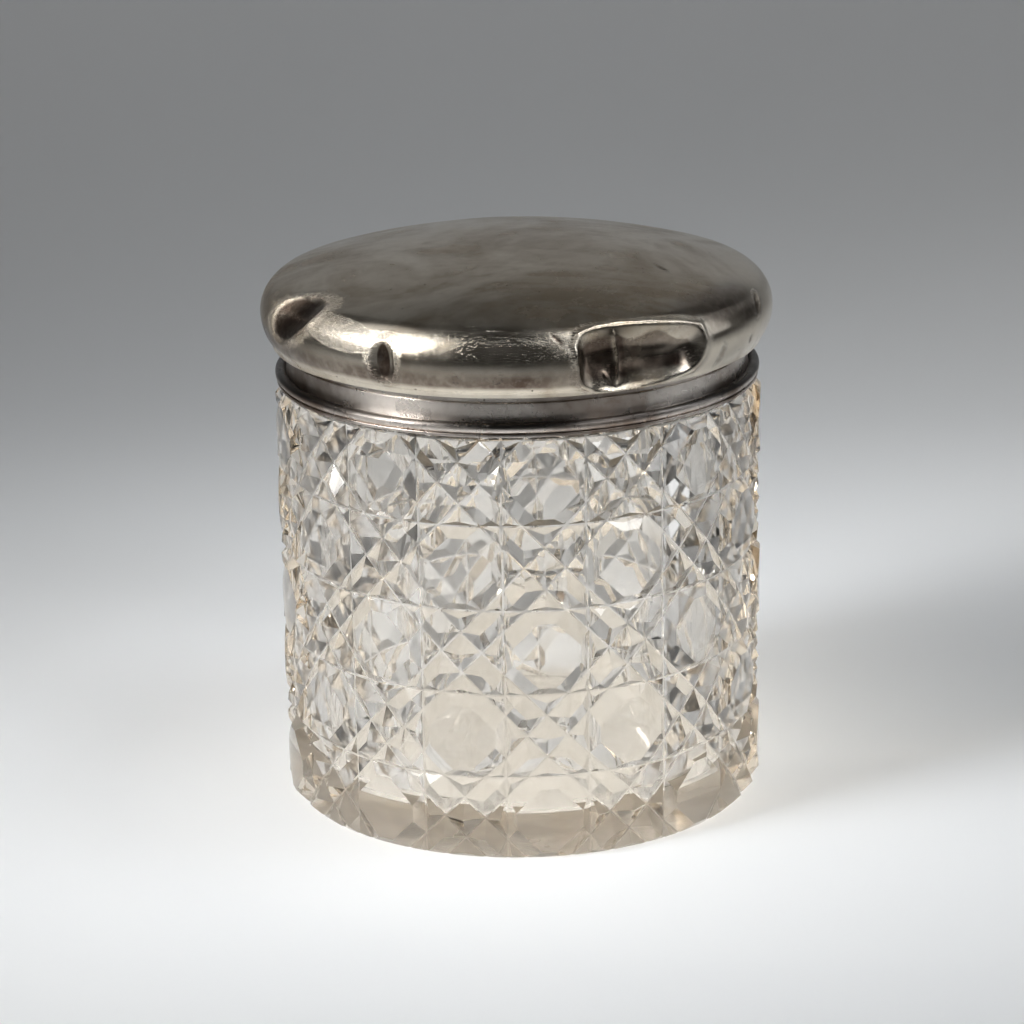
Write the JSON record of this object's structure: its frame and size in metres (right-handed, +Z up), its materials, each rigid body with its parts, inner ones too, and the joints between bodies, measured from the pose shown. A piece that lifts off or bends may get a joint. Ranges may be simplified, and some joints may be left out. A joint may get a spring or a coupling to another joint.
{
  "type": "powder jar",
  "caption": "Round cut-glass dressing-table powder jar with a beaded silver collar and a dented, pull-off hollow domed silver lid.",
  "frame": {"origin": "centre of the base, on the surface that the jar stands on", "axes": "+Z up along the jar's axis, -Y towards the front; one upright cut of the glass lies at -Y"},
  "size_m": [0.084, 0.084, 0.0931],
  "materials": {
    "cut_glass": "clear lead glass, cut and polished",
    "bedding_plaster": "matt off-white plaster",
    "collar_silver": "silver, handled and lightly tarnished",
    "lid_silver": "silver, worn satin with brown tarnish and fine scratches",
    "bezel_silver": "silver, dull with a bright rubbed edge"
  },
  "bodies": {
    "jar": {"glass_jar": "cut_glass", "plaster_bed": "bedding_plaster", "collar_sleeve": "collar_silver", "collar_bead": "collar_silver"},
    "lid": {"lid_dome": "lid_silver", "lid_underring": "bezel_silver", "lid_bezel": "bezel_silver"}
  },
  "joints": [
    {"name": "lid_lift", "type": "slide", "parent": "jar", "child": "lid", "axis": [0, 0, 1], "range_m": [0, 0.08]}
  ]
}
